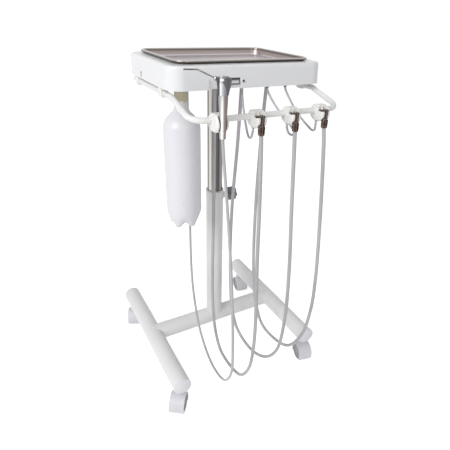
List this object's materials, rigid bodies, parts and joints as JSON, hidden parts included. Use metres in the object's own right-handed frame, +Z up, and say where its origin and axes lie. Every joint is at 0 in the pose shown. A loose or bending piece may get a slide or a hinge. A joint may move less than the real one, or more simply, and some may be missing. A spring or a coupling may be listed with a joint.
{
  "type": "portable dental unit",
  "caption": "Mobile dental delivery cart: a tray-topped control head with handpiece holders, syringe, water bottle and hoses on a height-adjustable post over an H base with casters.",
  "frame": {"origin": "on the floor, at the centre of the unit's footprint (without the free hoses)", "axes": "+Z up, the front with the holders towards -Y, +X to the unit's right as one faces it from the front"},
  "size_m": [0.489, 0.6053, 0.912],
  "materials": {
    "powder_white": "powder coat, semi-gloss",
    "cap_white": "satin",
    "caster_grey": "satin",
    "wheel_grey": "fine texture",
    "knob_grey": "fine texture",
    "post_steel": "polished",
    "alloy": "machined",
    "regulator_brass": "machined",
    "cover_white": "gloss",
    "screw_steel": "polished",
    "tray_steel": "brushed",
    "holder_white": "satin",
    "dark_plastic": "satin",
    "gauge_glass": "clear",
    "syringe_chrome": "polished",
    "button_grey": "satin",
    "connector_bronze": "bronzed",
    "bottle_white": "translucent, satin",
    "adapter_cream": "satin",
    "tube_grey": "smooth",
    "hose_grey": "smooth, satin"
  },
  "bodies": {
    "base": {"left_leg": "powder_white", "right_leg": "powder_white", "cross_bar": "powder_white", "lower_post": "powder_white", "leg_end_caps": "cap_white", "post_bushing": "cap_white", "clamp_boss": "powder_white"},
    "upper_post": {"upper_post": "post_steel"},
    "clamp_knob": {"clamp_knob": "knob_grey"},
    "head": {"head_mount": "alloy", "bottom_pan": "powder_white", "housing": "cover_white", "control_block": "alloy", "air_regulator": "regulator_brass", "housing_screws": "screw_steel", "rail": "powder_white", "rail_clamps": "powder_white", "gauge_case": "dark_plastic", "gauge_lens": "gauge_glass", "syringe_holder": "holder_white", "holder_left": "holder_white", "holder_middle": "holder_white", "holder_right": "holder_white", "holder_barbs": "screw_steel", "bottle_adapter": "adapter_cream", "pickup_tube": "tube_grey", "syringe_hose": "hose_grey", "hose_left": "hose_grey", "hose_middle": "hose_grey", "hose_right": "hose_grey", "signal_tubes": "tube_grey", "hose_glands": "dark_plastic", "supply_inlet": "screw_steel"},
    "gauge_pointer": {"gauge_pointer": "dark_plastic"},
    "front_button": {"front_button": "dark_plastic"},
    "tray": {"tray": "tray_steel"},
    "syringe": {"syringe_handle": "syringe_chrome", "syringe_head": "syringe_chrome", "tip_nut": "syringe_chrome"},
    "syringe_tip": {"syringe_tip": "syringe_chrome"},
    "air_button": {"air_button": "button_grey"},
    "water_button": {"water_button": "button_grey"},
    "bottle": {"bottle": "bottle_white"},
    "caster_fl": {"caster_hood_fl": "caster_grey"},
    "wheels_fl": {"caster_wheels_fl": "wheel_grey"},
    "caster_fr": {"caster_hood_fr": "caster_grey"},
    "wheels_fr": {"caster_wheels_fr": "wheel_grey"},
    "caster_bl": {"caster_hood_bl": "caster_grey"},
    "wheels_bl": {"caster_wheels_bl": "wheel_grey"},
    "caster_br": {"caster_hood_br": "caster_grey"},
    "wheels_br": {"caster_wheels_br": "wheel_grey"},
    "connector_left": {"connector_left": "connector_bronze"},
    "nut_left": {"connector_nut_left": "connector_bronze"},
    "lever_left": {"lever_left": "dark_plastic"},
    "connector_middle": {"connector_middle": "connector_bronze"},
    "nut_middle": {"connector_nut_middle": "connector_bronze"},
    "lever_middle": {"lever_middle": "dark_plastic"},
    "connector_right": {"connector_right": "connector_bronze"},
    "nut_right": {"connector_nut_right": "connector_bronze"},
    "lever_right": {"lever_right": "dark_plastic"}
  },
  "joints": [
    {"name": "swivel_fl", "type": "hinge", "parent": "base", "child": "caster_fl", "pos_m": [-0.20049, -0.17475, 0.065], "axis": [0, 0, 1], "continuous": true},
    {"name": "roll_fl", "type": "hinge", "parent": "caster_fl", "child": "wheels_fl", "pos_m": [-0.21048, -0.1885, 0.025], "axis": [0.809, -0.5878, 0], "continuous": true},
    {"name": "swivel_fr", "type": "hinge", "parent": "base", "child": "caster_fr", "pos_m": [0.21951, -0.17475, 0.065], "axis": [0, 0, 1], "continuous": true},
    {"name": "roll_fr", "type": "hinge", "parent": "caster_fr", "child": "wheels_fr", "pos_m": [0.21569, -0.19131, 0.025], "axis": [0.9744, -0.225, 0], "continuous": true},
    {"name": "swivel_bl", "type": "hinge", "parent": "base", "child": "caster_bl", "pos_m": [-0.20049, 0.23725, 0.065], "axis": [0, 0, 1], "continuous": true},
    {"name": "roll_bl", "type": "hinge", "parent": "caster_bl", "child": "wheels_bl", "pos_m": [-0.2074, 0.22172, 0.025], "axis": [0.9135, -0.4067, 0], "continuous": true},
    {"name": "swivel_br", "type": "hinge", "parent": "base", "child": "caster_br", "pos_m": [0.21951, 0.23725, 0.065], "axis": [0, 0, 1], "continuous": true},
    {"name": "roll_br", "type": "hinge", "parent": "caster_br", "child": "wheels_br", "pos_m": [0.21656, 0.22051, 0.025], "axis": [0.9848, -0.1736, 0], "continuous": true},
    {"name": "height", "type": "slide", "parent": "base", "child": "upper_post", "axis": [0, 0, 1], "range_m": [-0.035, 0.2]},
    {"name": "clamp_turn", "type": "hinge", "parent": "base", "child": "clamp_knob", "pos_m": [0.04951, 0.03625, 0.52], "axis": [1, 0, 0], "range_deg": [0, 360]},
    {"name": "head_turn", "type": "hinge", "parent": "upper_post", "child": "head", "pos_m": [0.00951, 0.03625, 0.86], "axis": [0, 0, 1], "range_deg": [-10, 10]},
    {"name": "tray_lift", "type": "slide", "parent": "head", "child": "tray", "axis": [0, 0, 1], "range_m": [0, 0.05]},
    {"name": "bottle_turn", "type": "hinge", "parent": "head", "child": "bottle", "pos_m": [-0.11749, -0.04275, 0.82], "axis": [0, 0, 1], "range_deg": [0, 180]},
    {"name": "pointer_turn", "type": "hinge", "parent": "head", "child": "gauge_pointer", "pos_m": [-0.04749, -0.14913, 0.8666], "axis": [0, 1, 0], "range_deg": [0, 100], "stiffness_Nm_per_rad": 0.0002},
    {"name": "button_press", "type": "slide", "parent": "head", "child": "front_button", "axis": [0, 1, 0], "range_m": [0, 0.0012], "stiffness_N_per_m": 400},
    {"name": "syringe_lift", "type": "slide", "parent": "head", "child": "syringe", "axis": [0, 0, 1], "range_m": [0, 0.06]},
    {"name": "tip_turn", "type": "hinge", "parent": "syringe", "child": "syringe_tip", "pos_m": [-0.12614, -0.24423, 0.89315], "axis": [-0.4818, 0.8345, 0.2672], "continuous": true},
    {"name": "air_press", "type": "slide", "parent": "syringe", "child": "air_button", "axis": [-0.5, 0.866, 0], "range_m": [0, 0.0013], "stiffness_N_per_m": 400},
    {"name": "water_press", "type": "slide", "parent": "syringe", "child": "water_button", "axis": [-0.5, 0.866, 0], "range_m": [0, 0.0013], "stiffness_N_per_m": 400},
    {"name": "take_left", "type": "slide", "parent": "head", "child": "connector_left", "axis": [0, -1, 0], "range_m": [0, 0.045]},
    {"name": "nut_turn_left", "type": "hinge", "parent": "connector_left", "child": "nut_left", "pos_m": [-0.03149, -0.25575, 0.79], "axis": [0, 0, 1], "continuous": true},
    {"name": "lever_turn_left", "type": "hinge", "parent": "head", "child": "lever_left", "pos_m": [-0.04129, -0.24875, 0.818], "axis": [0, 0, 1], "range_deg": [0, 20]},
    {"name": "take_middle", "type": "slide", "parent": "head", "child": "connector_middle", "axis": [0, -1, 0], "range_m": [0, 0.045]},
    {"name": "nut_turn_middle", "type": "hinge", "parent": "connector_middle", "child": "nut_middle", "pos_m": [0.05351, -0.25575, 0.79], "axis": [0, 0, 1], "continuous": true},
    {"name": "lever_turn_middle", "type": "hinge", "parent": "head", "child": "lever_middle", "pos_m": [0.04371, -0.24875, 0.818], "axis": [0, 0, 1], "range_deg": [0, 20]},
    {"name": "take_right", "type": "slide", "parent": "head", "child": "connector_right", "axis": [0, -1, 0], "range_m": [0, 0.045]},
    {"name": "nut_turn_right", "type": "hinge", "parent": "connector_right", "child": "nut_right", "pos_m": [0.13251, -0.25575, 0.79], "axis": [0, 0, 1], "continuous": true},
    {"name": "lever_turn_right", "type": "hinge", "parent": "head", "child": "lever_right", "pos_m": [0.12271, -0.24875, 0.818], "axis": [0, 0, 1], "range_deg": [0, 20]}
  ],
  "couplings": [
    {"joint": "lever_turn_left", "follows": "take_left", "rad_per_m": 7.7},
    {"joint": "lever_turn_middle", "follows": "take_middle", "rad_per_m": 7.7},
    {"joint": "lever_turn_right", "follows": "take_right", "rad_per_m": 7.7}
  ]
}
